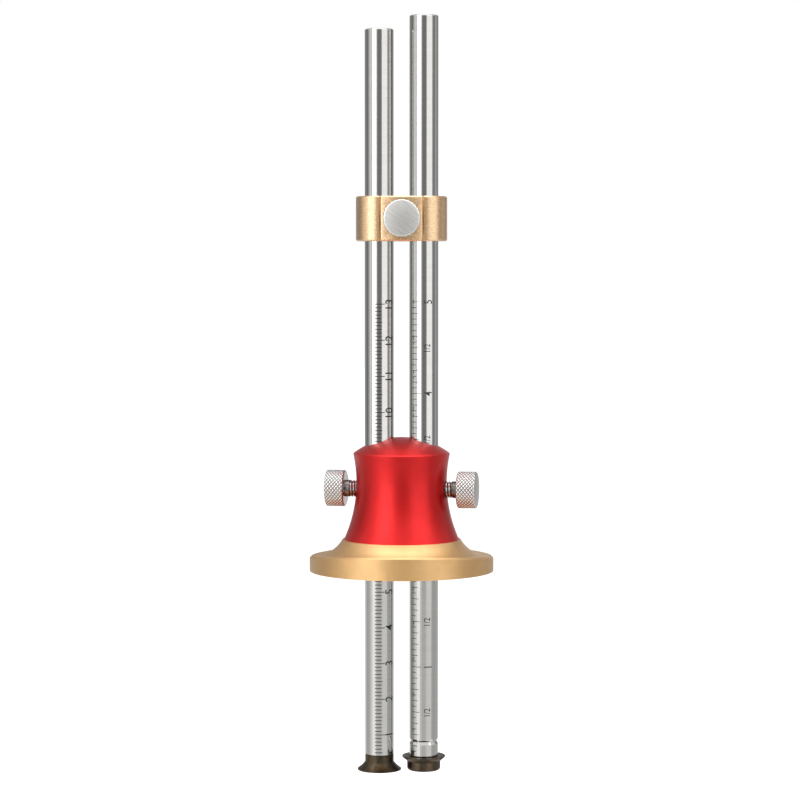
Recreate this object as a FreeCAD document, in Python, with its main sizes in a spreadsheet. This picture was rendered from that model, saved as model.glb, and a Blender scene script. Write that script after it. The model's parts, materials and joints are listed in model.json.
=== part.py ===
import FreeCAD, Part
import math
import os
import Sketcher

# Mortise gauge with two round rods: a fence with a waisted head slides on the rods, a bridge joins
# them higher up, and each rod carries a round cutter at its lower end.
# Frame: the origin is the centre of the fence's working face, +Z runs up the rods, +X goes to the
# right, and -Y faces the person who holds the gauge. Sizes are in millimetres, angles in degrees.

doc = FreeCAD.newDocument("MortiseGauge")
sheet = doc.addObject("Spreadsheet::Sheet", "Dimensions")

# Driving dimensions

DIMENSIONS = (
    ("rod_diameter", 8.0),
    ("rod_spacing", 12.4),
    ("rod_edge_chamfer", 0.4),
    ("running_clearance", 0.08),
    ("metric_rod_bottom", -51.7),
    ("metric_rod_length", 201.8),
    ("inch_rod_bottom", -52.1),
    ("inch_rod_length", 206.0),
    ("ring_groove_height", 4.15),
    ("ring_groove_depth", 0.4),
    ("ring_groove_width", 1.5),
    ("fence_diameter", 51.3),
    ("fence_low_height", 3.9),
    ("fence_scoop_radius", 280.0),
    ("fence_scoop_setback", 12.0),
    ("fence_edge_chamfer", 0.6),
    ("neck_diameter", 33.0),
    ("neck_height", 8.7),
    ("flare_radius", 9.7),
    ("flare_center_height", 13.45),
    ("waist_diameter", 25.2),
    ("waist_height", 24.6),
    ("waist_curve_radius", 38.5),
    ("head_rim_height", 33.0),
    ("head_rim_chamfer", 0.35),
    ("dome_height", 4.2),
    ("fence_screw_spacing", 21.0),
    ("fence_screw_diameter", 3.0),
    ("fence_screw_head", 5.6),
    ("fence_screw_recess", 0.2),
    ("fence_screw_depth", 16.0),
    ("tapped_bottom_room", 1.0),
    ("screw_hole_clearance", 0.08),
    ("drill_point_slope", 0.5),
    ("cut_margin", 2.5),
    ("lock_screw_height", 22.7),
    ("lock_screw_turn", 10.0),
    ("lock_thread_diameter", 4.8),
    ("lock_shank_length", 4.9),
    ("lock_head_diameter", 10.2),
    ("lock_head_length", 5.3),
    ("lock_head_chamfer", 0.5),
    ("tip_diameter", 3.8),
    ("tip_thickness", 0.8),
    ("tip_stem_diameter", 2.0),
    ("tip_stem_length", 2.5),
    ("tip_gap", 0.1),
    ("bridge_bottom", 91.65),
    ("bridge_height", 12.4),
    ("bridge_lobe_diameter", 12.9),
    ("bridge_pad_width", 11.7),
    ("bridge_pad_recess", 0.35),
    ("bridge_edge_chamfer", 0.35),
    ("bridge_back_wall", 2.7),
    ("wedge_diameter", 4.6),
    ("wedge_taper", 12.0),
    ("wedge_length", 6.6),
    ("wedge_reach", 2.8),
    ("cutter_play", 0.08),
    ("cutter_edge_land", 0.3),
    ("metric_cutter_diameter", 12.2),
    ("metric_cutter_hub_length", 2.0),
    ("metric_cutter_bevel_length", 2.0),
    ("inch_cutter_diameter", 12.0),
    ("inch_cutter_hub_diameter", 9.3),
    ("inch_cutter_hub_length", 2.55),
    ("inch_cutter_bevel_length", 1.15),
    ("inch_cutter_hub_chamfer", 0.5),
    ("cutter_screw_diameter", 3.0),
    ("cutter_screw_head", 5.6),
    ("cutter_screw_length", 11.0),
    ("hex_socket_width", 2.0),
    ("hex_socket_depth", 1.2),
)


class Length:
    """A size: its present value, and the formula that ties it to the sheet."""

    def __init__(self, value, formula):
        self.value = value
        self.formula = formula

    def __add__(self, other):
        other = length(other)
        return Length(self.value + other.value, f"({self.formula} + {other.formula})")

    def __sub__(self, other):
        other = length(other)
        return Length(self.value - other.value, f"({self.formula} - {other.formula})")

    def __mul__(self, other):
        other = length(other)
        return Length(self.value * other.value, f"({self.formula} * {other.formula})")

    def __truediv__(self, other):
        other = length(other)
        return Length(self.value / other.value, f"({self.formula} / {other.formula})")

    def __neg__(self):
        return Length(-self.value, f"(0 - {self.formula})")

    def root(self):
        return Length(math.sqrt(self.value), f"sqrt({self.formula})")

    def cosine(self):
        return Length(math.cos(math.radians(self.value)), f"cos({self.formula})")

    def sine(self):
        return Length(math.sin(math.radians(self.value)), f"sin({self.formula})")

    def tangent(self):
        return Length(math.tan(math.radians(self.value)), f"tan({self.formula})")


def length(size):
    """A plain number stands for itself."""
    if isinstance(size, Length):
        return size
    return Length(float(size), f"{float(size):.6f}")


size = {}
for row, (name, number) in enumerate(DIMENSIONS, start=1):
    sheet.set(f"A{row}", name)
    sheet.set(f"B{row}", str(number))
    sheet.setAlias(f"B{row}", name)
    size[name] = Length(number, f"Dimensions.{name}")
doc.recompute()

ZERO = length(0)
HALF_TURN = 180
QUARTER_TURN = 90
HEX_CORNERS = 6
SAME_PLACE = 1e-6
ON_THE_RIM = 1e-3


# Sketches and bodies

def new_body(label):
    """An empty body with its own name."""
    body = doc.addObject("PartDesign::Body", label)
    body.Label = label
    return body


def origin_plane(body, role):
    """One of the body's own origin planes."""
    for feature in body.Origin.OriginFeatures:
        if feature.Role == role:
            return feature
    raise ValueError(role)


def new_sketch(body, role, name, place=(ZERO, ZERO, ZERO), turn=None):
    """A sketch on an origin plane, moved and turned within that plane's own axes."""
    sketch = body.newObject("Sketcher::SketchObject", f"{body.Label}_{name}")
    sketch.AttachmentSupport = [(origin_plane(body, role), "")]
    sketch.MapMode = "FlatFace"
    start = FreeCAD.Vector(*(step.value for step in place))
    spin = FreeCAD.Rotation(FreeCAD.Vector(0, 1, 0), turn.value if turn else 0)
    sketch.AttachmentOffset = FreeCAD.Placement(start, spin)
    for axis, step in zip("xyz", place):
        if step is not ZERO:
            sketch.setExpression(f"AttachmentOffset.Base.{axis}", step.formula)
    if turn:
        sketch.setExpression("AttachmentOffset.Rotation.Angle", turn.formula)
    return sketch


def pin_down(sketch, curve, end, across, up):
    """Hold one point of a curve at two lengths from the sketch's origin."""
    for kind, distance, axis in (("DistanceX", across, -2), ("DistanceY", up, -1)):
        if distance.value == 0:
            sketch.addConstraint(Sketcher.Constraint("PointOnObject", curve, end, axis))
            continue
        number = sketch.addConstraint(
            Sketcher.Constraint(kind, -1, 1, curve, end, distance.value))
        sketch.setExpression(f"Constraints[{number}]", distance.formula)


def draw_outline(sketch, corners):
    """A closed outline. A corner is (across, up), or (across, up, center, radius) where an arc leads
    to it; the arc's center is a pair of values, and a negative radius runs clockwise."""
    points = [(length(corner[0]), length(corner[1])) for corner in corners]
    curves = []
    for index, corner in enumerate(corners):
        start = FreeCAD.Vector(points[index - 1][0].value, points[index - 1][1].value, 0)
        end = FreeCAD.Vector(points[index][0].value, points[index][1].value, 0)
        if len(corner) == 2:
            curve = sketch.addGeometry(Part.LineSegment(start, end), False)
            curves.append((curve, 1, 2))
            continue
        center = FreeCAD.Vector(corner[2][0].value, corner[2][1].value, 0)
        radius = corner[3]
        clockwise = radius.value < 0
        first, last = (end, start) if clockwise else (start, end)
        circle = Part.Circle(center, FreeCAD.Vector(0, 0, 1), abs(radius.value))
        arc = Part.ArcOfCircle(circle, angle_of(first - center), angle_of(last - center))
        curve = sketch.addGeometry(arc, False)
        bow = -radius if clockwise else radius
        number = sketch.addConstraint(Sketcher.Constraint("Radius", curve, bow.value))
        sketch.setExpression(f"Constraints[{number}]", bow.formula)
        curves.append((curve, 2, 1) if clockwise else (curve, 1, 2))
    for index, (curve, start, end) in enumerate(curves):
        before = curves[index - 1]
        sketch.addConstraint(Sketcher.Constraint("Coincident", before[0], before[2], curve, start))
        pin_down(sketch, curve, end, *points[index])


def angle_of(arrow):
    """The direction of a vector in a sketch, in radians."""
    return math.atan2(arrow.y, arrow.x)


def draw_circle(sketch, across, up, radius):
    """A circle held at its center."""
    center = FreeCAD.Vector(across.value, up.value, 0)
    circle = Part.Circle(center, FreeCAD.Vector(0, 0, 1), radius.value)
    curve = sketch.addGeometry(circle, False)
    number = sketch.addConstraint(Sketcher.Constraint("Radius", curve, radius.value))
    sketch.setExpression(f"Constraints[{number}]", radius.formula)
    pin_down(sketch, curve, 3, across, up)


def turned(body, corners, axis="V_Axis", name="Profile", place=(ZERO, ZERO, ZERO)):
    """A turned solid: corners are (radius, height) about the vertical axis of the front plane, or
    (along, radius) about its horizontal axis."""
    sketch = new_sketch(body, "XZ_Plane", name, place)
    draw_outline(sketch, corners)
    feature = body.newObject("PartDesign::Revolution", f"{body.Label}_{name}_Turned")
    feature.Profile = sketch
    feature.ReferenceAxis = (sketch, [axis])
    feature.Angle = 360.0
    return feature


def bored(body, role, name, corners, axis, place=(ZERO, ZERO, ZERO), turn=None):
    """A turned cut about an axis of its own sketch, which may be moved and turned."""
    sketch = new_sketch(body, role, name, place, turn)
    for outline in corners:
        draw_outline(sketch, outline)
    feature = body.newObject("PartDesign::Groove", f"{body.Label}_{name}_Bored")
    feature.Profile = sketch
    feature.ReferenceAxis = (sketch, [axis])
    feature.Angle = 360.0
    return feature


def padded_up(body, sketch, height, name):
    """A straight block raised from a sketch."""
    feature = body.newObject("PartDesign::Pad", f"{body.Label}_{name}")
    feature.Profile = sketch
    feature.Length = height.value
    feature.setExpression("Length", height.formula)
    return feature


def cut_through(body, sketch, name):
    """A cut through the whole body, both ways from the sketch."""
    feature = body.newObject("PartDesign::Pocket", f"{body.Label}_{name}")
    feature.Profile = sketch
    feature.Type = "ThroughAll"
    feature.Midplane = True
    return feature


def chamfered(body, base, edges, width, name):
    """A bevel along the edges that the test picks."""
    doc.recompute()
    picked = [f"Edge{number}" for number, edge in enumerate(base.Shape.Edges, start=1) if edges(edge)]
    feature = body.newObject("PartDesign::Chamfer", f"{body.Label}_{name}")
    feature.Base = (base, picked)
    feature.Size = width.value
    feature.setExpression("Size", width.formula)
    return feature


# Shared places and sizes

ROD_RADIUS = size["rod_diameter"] / 2
ROD_OFFSET = size["rod_spacing"] / 2
BORE_RADIUS = ROD_RADIUS + size["running_clearance"]
FENCE_RADIUS = size["fence_diameter"] / 2
NECK_RADIUS = size["neck_diameter"] / 2
NECK_HEIGHT = size["neck_height"]
TAPPED_RADIUS = size["lock_thread_diameter"] / 2 + size["screw_hole_clearance"]
LOCK_TIP_START = ROD_OFFSET * size["lock_screw_turn"].cosine() + ROD_RADIUS + size["tip_gap"]
STEM_CLEARANCE = size["screw_hole_clearance"]


def rod_bores(body, name):
    """The pair of sliding bores for the rods, right through a body."""
    sketch = new_sketch(body, "XY_Plane", name)
    draw_circle(sketch, -ROD_OFFSET, ZERO, BORE_RADIUS)
    draw_circle(sketch, ROD_OFFSET, ZERO, BORE_RADIUS)
    return cut_through(body, sketch, f"{name}_Cut")


# Fence

FENCE_SCREW_RADIUS = size["fence_screw_diameter"] / 2
FENCE_SCREW_HEAD_RADIUS = size["fence_screw_head"] / 2
FENCE_SCREW_OFFSET = size["fence_screw_spacing"] / 2
FENCE_SCREW_CONE = FENCE_SCREW_HEAD_RADIUS - FENCE_SCREW_RADIUS
FENCE_SCREW_ROOM = size["screw_hole_clearance"]


def scoop_height(depth):
    """The height of the fence's hollow top at a distance behind the centre."""
    radius = size["fence_scoop_radius"]
    run = depth - size["fence_scoop_setback"]
    return size["fence_low_height"] + radius - (radius * radius - run * run).root()


def make_fence_flange():
    """A round fence whose top is hollowed so that it is thickest at the front, with a flared neck."""
    body = new_body("fence_flange")
    front = -FENCE_RADIUS
    disc = new_sketch(body, "XY_Plane", "Disc")
    draw_circle(disc, ZERO, ZERO, FENCE_RADIUS)
    padded_up(body, disc, scoop_height(front), "Disc_Pad")

    before = front - size["cut_margin"]
    behind = FENCE_RADIUS + size["cut_margin"]
    above = scoop_height(before) + size["cut_margin"]
    scoop_center = (size["fence_scoop_setback"], size["fence_low_height"] + size["fence_scoop_radius"])
    scoop = new_sketch(body, "YZ_Plane", "Scoop")
    draw_outline(scoop, [
        (behind, above),
        (before, above),
        (before, scoop_height(before)),
        (behind, scoop_height(behind), scoop_center, size["fence_scoop_radius"]),
    ])
    hollowed = cut_through(body, scoop, "Scoop_Cut")
    chamfered(body, hollowed, is_fence_top_edge, size["fence_edge_chamfer"], "Edge_Bevel")

    flare = size["flare_radius"]
    rise = size["flare_center_height"] - NECK_HEIGHT
    flare_center = (NECK_RADIUS + (flare * flare - rise * rise).root(), size["flare_center_height"])
    flare_foot = size["flare_center_height"] - flare
    inside_disc = flare_foot / 2
    turned(body, [
        (ZERO, inside_disc),
        (flare_center[0], inside_disc),
        (flare_center[0], flare_foot),
        (NECK_RADIUS, NECK_HEIGHT, flare_center, -flare),
        (ZERO, NECK_HEIGHT),
    ], name="Flare")

    rod_bores(body, "Rod_Bores")
    head = FENCE_SCREW_HEAD_RADIUS + FENCE_SCREW_ROOM
    shank = FENCE_SCREW_RADIUS + FENCE_SCREW_ROOM
    seat = size["fence_screw_recess"] + FENCE_SCREW_CONE
    for side, place in (("Front", -FENCE_SCREW_OFFSET), ("Rear", FENCE_SCREW_OFFSET)):
        bored(body, "YZ_Plane", f"{side}_Screw_Hole", [[
            (ZERO, ZERO),
            (head, ZERO),
            (head, size["fence_screw_recess"]),
            (shank, seat),
            (shank, NECK_HEIGHT),
            (ZERO, NECK_HEIGHT),
        ]], "V_Axis", (place, ZERO, ZERO))
    return body


def is_fence_top_edge(edge):
    """An edge of the hollowed top that runs along the rim."""
    for point in edge.discretize(5):
        if abs(math.hypot(point.x, point.y) - FENCE_RADIUS.value) > ON_THE_RIM:
            return False
    return edge.BoundBox.ZMin > SAME_PLACE


def make_fence_screw(label, side):
    """A countersunk screw that holds the fence to the head from the working face."""
    body = new_body(label)
    recess = size["fence_screw_recess"]
    top = size["fence_screw_depth"]
    socket = size["hex_socket_depth"]
    turned(body, [
        (ZERO, recess),
        (FENCE_SCREW_HEAD_RADIUS, recess),
        (FENCE_SCREW_RADIUS, recess + FENCE_SCREW_CONE),
        (FENCE_SCREW_RADIUS, top),
        (ZERO, top),
    ])
    hex_socket(body, recess, socket)
    body.Placement = FreeCAD.Placement(FreeCAD.Vector(0, side.value, 0), FreeCAD.Rotation())
    body.setExpression("Placement.Base.y", side.formula)
    return body


def hex_socket(body, start, depth):
    """A hexagon socket cut upwards from a screw's underside."""
    sketch = new_sketch(body, "XY_Plane", "Socket", (ZERO, ZERO, start))
    corner = size["hex_socket_width"] / length(3).root()
    ring = []
    for step in range(HEX_CORNERS):
        turn = length(2 * HALF_TURN * step / HEX_CORNERS)
        point = (corner * turn.cosine(), corner * turn.sine())
        ring.append([ZERO if abs(part.value) < SAME_PLACE else part for part in point])
    draw_outline(sketch, ring)
    feature = body.newObject("PartDesign::Pocket", f"{body.Label}_Socket_Cut")
    feature.Profile = sketch
    feature.Reversed = True
    feature.Length = depth.value
    feature.setExpression("Length", depth.formula)
    return feature


# Head

def make_head_body():
    """The waisted, domed head that carries the rods and their lock screws."""
    body = new_body("head_body")
    curve = size["waist_curve_radius"]
    curve_center = (size["waist_diameter"] / 2 + curve, size["waist_height"])
    drop = size["waist_height"] - NECK_HEIGHT
    foot = curve_center[0] - (curve * curve - drop * drop).root()
    bevel = size["head_rim_chamfer"]
    rim = size["head_rim_height"]
    climb = rim - bevel - size["waist_height"]
    rim_radius = curve_center[0] - (curve * curve - climb * climb).root()
    dome_edge = rim_radius - bevel
    dome = size["dome_height"]
    dome_radius = (dome_edge * dome_edge + dome * dome) / (dome * 2)
    apex = rim + dome
    turned(body, [
        (ZERO, NECK_HEIGHT),
        (foot, NECK_HEIGHT),
        (rim_radius, rim - bevel, curve_center, -curve),
        (dome_edge, rim),
        (ZERO, apex, (ZERO, apex - dome_radius), dome_radius),
    ])
    rod_bores(body, "Rod_Bores")

    outside = foot
    inside = ROD_OFFSET
    sides = []
    for start, end in ((inside, outside), (-outside, -inside)):
        sides.append([(start, ZERO), (end, ZERO), (end, TAPPED_RADIUS), (start, TAPPED_RADIUS)])
    bored(body, "XZ_Plane", "Lock_Holes", sides, "H_Axis",
          (ZERO, size["lock_screw_height"], ZERO), -size["lock_screw_turn"])

    hole = FENCE_SCREW_RADIUS + FENCE_SCREW_ROOM
    floor = size["fence_screw_depth"] + size["tapped_bottom_room"]
    for side, place in (("Front", -FENCE_SCREW_OFFSET), ("Rear", FENCE_SCREW_OFFSET)):
        bored(body, "YZ_Plane", f"{side}_Tapped_Hole", [[
            (ZERO, NECK_HEIGHT),
            (hole, NECK_HEIGHT),
            (hole, floor),
            (ZERO, floor + hole * size["drill_point_slope"]),
        ]], "V_Axis", (place, ZERO, ZERO))
    return body


# Rods

def make_rod(label, side, bottom, rod_length, groove):
    """A ground round rod with a tapped hole in its lower end for the cutter's screw."""
    body = new_body(label)
    bevel = size["rod_edge_chamfer"]
    top = bottom + rod_length
    hole = size["cutter_screw_diameter"] / 2 + size["screw_hole_clearance"]
    hole_top = bottom + size["cutter_screw_length"]
    corners = [(hole, bottom), (ROD_RADIUS, bottom)]
    if groove:
        middle = bottom + size["ring_groove_height"]
        half = size["ring_groove_width"] / 2
        corners += [
            (ROD_RADIUS, middle - half),
            (ROD_RADIUS - size["ring_groove_depth"], middle),
            (ROD_RADIUS, middle + half),
        ]
    corners += [
        (ROD_RADIUS, top - bevel),
        (ROD_RADIUS - bevel, top),
        (ZERO, top),
        (ZERO, hole_top + hole * size["drill_point_slope"]),
        (hole, hole_top),
    ]
    turned(body, corners)
    stand_on_rod(body, side)
    return body


def stand_on_rod(body, side):
    """Put a body that was made about its own axis onto a rod's axis."""
    body.Placement = FreeCAD.Placement(FreeCAD.Vector(side.value, 0, 0), FreeCAD.Rotation())
    body.setExpression("Placement.Base.x", side.formula)


# Cutters

CUTTER_BORE = size["cutter_screw_diameter"] / 2 + size["running_clearance"]
CUTTER_SCREW_RADIUS = size["cutter_screw_diameter"] / 2
CUTTER_HEAD_RADIUS = size["cutter_screw_head"] / 2
CUTTER_CONE = CUTTER_HEAD_RADIUS - CUTTER_SCREW_RADIUS
METRIC_CUTTER_TOP = size["metric_rod_bottom"] - size["cutter_play"]
METRIC_CUTTER_FACE = (METRIC_CUTTER_TOP - size["metric_cutter_hub_length"]
                      - size["metric_cutter_bevel_length"] - size["cutter_edge_land"])
INCH_CUTTER_TOP = size["inch_rod_bottom"] - size["cutter_play"]
INCH_CUTTER_FACE = (INCH_CUTTER_TOP - size["cutter_edge_land"]
                    - size["inch_cutter_bevel_length"] - size["inch_cutter_hub_length"])


def countersink(face):
    """The corners of a cutter's countersunk bore, from its lower face up to its inner wall."""
    rim = CUTTER_HEAD_RADIUS + size["screw_hole_clearance"]
    return [(rim, face), (CUTTER_BORE, face + rim - CUTTER_BORE)]


def make_metric_cutter():
    """A round cutter with its bevel up, so that its flat face and its edge are at the bottom."""
    body = new_body("metric_cutter")
    top = METRIC_CUTTER_TOP
    face = METRIC_CUTTER_FACE
    edge = size["metric_cutter_diameter"] / 2
    rim, seat = countersink(face)
    turned(body, [
        (CUTTER_BORE, top),
        seat,
        rim,
        (edge, face),
        (edge, face + size["cutter_edge_land"]),
        (ROD_RADIUS, top - size["metric_cutter_hub_length"]),
        (ROD_RADIUS, top),
    ])
    stand_on_rod(body, -ROD_OFFSET)
    return body


def make_inch_cutter():
    """A round cutter with its bevel down, so that its flat face and its edge are at the top."""
    body = new_body("inch_cutter")
    top = INCH_CUTTER_TOP
    face = INCH_CUTTER_FACE
    edge = size["inch_cutter_diameter"] / 2
    hub = size["inch_cutter_hub_diameter"] / 2
    bevel = size["inch_cutter_hub_chamfer"]
    rim, seat = countersink(face)
    turned(body, [
        (CUTTER_BORE, top),
        seat,
        rim,
        (hub - bevel, face),
        (hub, face + bevel),
        (hub, face + size["inch_cutter_hub_length"]),
        (edge, top - size["cutter_edge_land"]),
        (edge, top),
    ])
    stand_on_rod(body, ROD_OFFSET)
    return body


def make_cutter_screw(label, side, face):
    """A countersunk screw, flush in the cutter's lower face, on which the cutter turns."""
    body = new_body(label)
    top = face + size["cutter_screw_length"]
    turned(body, [
        (ZERO, face),
        (CUTTER_HEAD_RADIUS, face),
        (CUTTER_SCREW_RADIUS, face + CUTTER_CONE),
        (CUTTER_SCREW_RADIUS, top),
        (ZERO, top),
    ])
    hex_socket(body, face, size["hex_socket_depth"])
    stand_on_rod(body, side)
    return body


# Lock screws and their tips

def make_lock_screw(label, tip_back):
    """A thumb screw along +X: a bored shank that holds its tip, and a head for the fingers."""
    body = new_body(label)
    stem = size["tip_stem_diameter"] / 2 + STEM_CLEARANCE
    stem_end = tip_back + size["tip_stem_length"] + STEM_CLEARANCE
    shank = size["lock_thread_diameter"] / 2
    shank_start = tip_back + STEM_CLEARANCE
    head_start = tip_back + size["lock_shank_length"]
    head_end = head_start + size["lock_head_length"]
    head = size["lock_head_diameter"] / 2
    bevel = size["lock_head_chamfer"]
    turned(body, [
        (stem_end, ZERO),
        (stem_end, stem),
        (shank_start, stem),
        (shank_start, shank),
        (head_start, shank),
        (head_start, head - bevel),
        (head_start + bevel, head),
        (head_end - bevel, head),
        (head_end, head - bevel),
        (head_end, ZERO),
    ], axis="H_Axis")
    return body


def make_lock_tip(label):
    """A soft tip whose stem turns in the end of its screw, and whose flat face holds the rod."""
    body = new_body(label)
    start = LOCK_TIP_START
    back = start + size["tip_thickness"]
    end = back + size["tip_stem_length"]
    disc = size["tip_diameter"] / 2
    stem = size["tip_stem_diameter"] / 2
    turned(body, [
        (start, ZERO),
        (start, disc),
        (back, disc),
        (back, stem),
        (end, stem),
        (end, ZERO),
    ], axis="H_Axis")
    return body


def set_across_head(body, heading):
    """Turn a body made along +X into the head's cross hole, at the lock screws' height."""
    upright = FreeCAD.Vector(0, 0, 1)
    body.Placement = FreeCAD.Placement(
        FreeCAD.Vector(0, 0, size["lock_screw_height"].value),
        FreeCAD.Rotation(upright, heading.value))
    body.setExpression("Placement.Base.z", size["lock_screw_height"].formula)
    body.setExpression("Placement.Rotation.Angle", heading.formula)


# Bridge

BRIDGE_MIDDLE = size["bridge_bottom"] + size["bridge_height"] / 2
LOBE_RADIUS = size["bridge_lobe_diameter"] / 2
PAD_HALF = size["bridge_pad_width"] / 2
PAD_DEPTH = LOBE_RADIUS - size["bridge_pad_recess"]
WEDGE_RADIUS = size["wedge_diameter"] / 2
WEDGE_START = -size["wedge_reach"]
WEDGE_BACK = WEDGE_START + size["wedge_length"]


def make_bridge_body():
    """The clamp that joins the rods: two lobes and a block between them, milled flat at the front."""
    body = new_body("bridge_body")
    bottom = size["bridge_bottom"]
    top = bottom + size["bridge_height"]
    bevel = size["bridge_edge_chamfer"]
    plan = new_sketch(body, "XY_Plane", "Plan", (ZERO, ZERO, bottom))
    draw_outline(plan, [
        (-PAD_HALF, -PAD_DEPTH),
        (PAD_HALF, -PAD_DEPTH),
        (PAD_HALF, PAD_DEPTH),
        (-PAD_HALF, PAD_DEPTH),
    ])
    block = padded_up(body, plan, size["bridge_height"], "Block")
    chamfered(body, block, is_pad_edge, bevel, "Edge_Bevel")
    for side, place in (("Left", -ROD_OFFSET), ("Right", ROD_OFFSET)):
        turned(body, [
            (ZERO, bottom),
            (LOBE_RADIUS - bevel, bottom),
            (LOBE_RADIUS, bottom + bevel),
            (LOBE_RADIUS, top - bevel),
            (LOBE_RADIUS - bevel, top),
            (ZERO, top),
        ], name=f"{side}_Lobe", place=(place, ZERO, ZERO))
    in_front = -LOBE_RADIUS - size["cut_margin"]
    flat = new_sketch(body, "XY_Plane", "Flat")
    draw_outline(flat, [
        (-PAD_HALF, in_front),
        (PAD_HALF, in_front),
        (PAD_HALF, -PAD_DEPTH),
        (-PAD_HALF, -PAD_DEPTH),
    ])
    cut_through(body, flat, "Flat_Cut")
    rod_bores(body, "Rod_Bores")
    floor = PAD_DEPTH - size["bridge_back_wall"]
    bored(body, "YZ_Plane", "Screw_Hole", [[
        (-PAD_DEPTH, ZERO),
        (floor, ZERO),
        (floor, TAPPED_RADIUS),
        (-PAD_DEPTH, TAPPED_RADIUS),
    ]], "H_Axis", (ZERO, BRIDGE_MIDDLE, ZERO))
    return body


def is_pad_edge(edge):
    """A level edge along the front or back of the bridge's pad."""
    box = edge.BoundBox
    return box.YLength < SAME_PLACE and box.ZLength < SAME_PLACE


def make_bridge_wedge():
    """A tapered plug that the bridge's screw drives between the two rods."""
    body = new_body("bridge_wedge")
    taper = size["wedge_taper"]
    touch_radius = ROD_OFFSET - ROD_RADIUS * taper.cosine()
    touch = ROD_RADIUS * taper.sine() + size["tip_gap"] / taper.sine()
    taper_end = touch + (WEDGE_RADIUS - touch_radius) / taper.tangent()
    nose = WEDGE_RADIUS - (taper_end - WEDGE_START) * taper.tangent()
    stem = size["tip_stem_diameter"] / 2
    stem_end = WEDGE_BACK + size["tip_stem_length"]
    turned(body, [
        (WEDGE_START, ZERO),
        (WEDGE_START, nose),
        (taper_end, WEDGE_RADIUS),
        (WEDGE_BACK, WEDGE_RADIUS),
        (WEDGE_BACK, stem),
        (stem_end, stem),
        (stem_end, ZERO),
    ], axis="H_Axis")
    return body


def set_in_bridge(body):
    """Turn a body made along +X to the front, at the bridge's middle height."""
    body.Placement = FreeCAD.Placement(
        FreeCAD.Vector(0, 0, BRIDGE_MIDDLE.value),
        FreeCAD.Rotation(FreeCAD.Vector(0, 0, 1), -QUARTER_TURN))
    body.setExpression("Placement.Base.z", BRIDGE_MIDDLE.formula)


# The gauge

LOCK_TIP_BACK = LOCK_TIP_START + size["tip_thickness"]
RIGHT_HEADING = -size["lock_screw_turn"]
LEFT_HEADING = length(HALF_TURN) - size["lock_screw_turn"]

pieces = [
    make_fence_flange(),
    make_head_body(),
    make_fence_screw("fence_screw_front", -FENCE_SCREW_OFFSET),
    make_fence_screw("fence_screw_rear", FENCE_SCREW_OFFSET),
    make_rod("metric_rod", -ROD_OFFSET, size["metric_rod_bottom"], size["metric_rod_length"], False),
    make_rod("inch_rod", ROD_OFFSET, size["inch_rod_bottom"], size["inch_rod_length"], True),
    make_metric_cutter(),
    make_inch_cutter(),
    make_cutter_screw("metric_cutter_screw", -ROD_OFFSET, METRIC_CUTTER_FACE),
    make_cutter_screw("inch_cutter_screw", ROD_OFFSET, INCH_CUTTER_FACE),
    make_bridge_body(),
]

for side, heading in (("left", LEFT_HEADING), ("right", RIGHT_HEADING)):
    for piece in (make_lock_screw(f"{side}_lock_screw", LOCK_TIP_BACK), make_lock_tip(f"{side}_lock_tip")):
        set_across_head(piece, heading)
        pieces.append(piece)

for piece in (make_lock_screw("bridge_lock_screw", WEDGE_BACK), make_bridge_wedge()):
    set_in_bridge(piece)
    pieces.append(piece)

doc.recompute()

# Every object has to be sound before a file is written

for item in doc.Objects:
    if "Invalid" in item.State or "Error" in item.State:
        raise RuntimeError(f"{item.Name}: {item.State}")

for piece in pieces:
    if piece.Shape.isNull() or not piece.Shape.isValid():
        raise RuntimeError(f"{piece.Label} is not a valid solid")

os.makedirs("parts", exist_ok=True)
for piece in pieces:
    piece.Shape.exportStep(f"parts/{piece.Label}.step")
    box = piece.Shape.BoundBox
    print(f"{piece.Label}: {len(piece.Shape.Solids)} solid, {piece.Shape.Volume:.1f} mm3,"
          f" z {box.ZMin:.2f} to {box.ZMax:.2f}")
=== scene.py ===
# %% [markdown]
# # A mortise gauge
# The gauge has two ground steel rods that slide through a red head with a gold fence. Each rod
# carries a round cutter, and a gold bridge joins the rods higher up. The solids come from the
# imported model, which is the frame for everything here: Blender adds the finishes, and the shapes
# that are too fine for the solids, such as the knurls, the threads and the engraved scales.

# %% Load the frame
import bpy
import bmesh
import json
import math
from mathutils import Matrix, Vector


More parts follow.
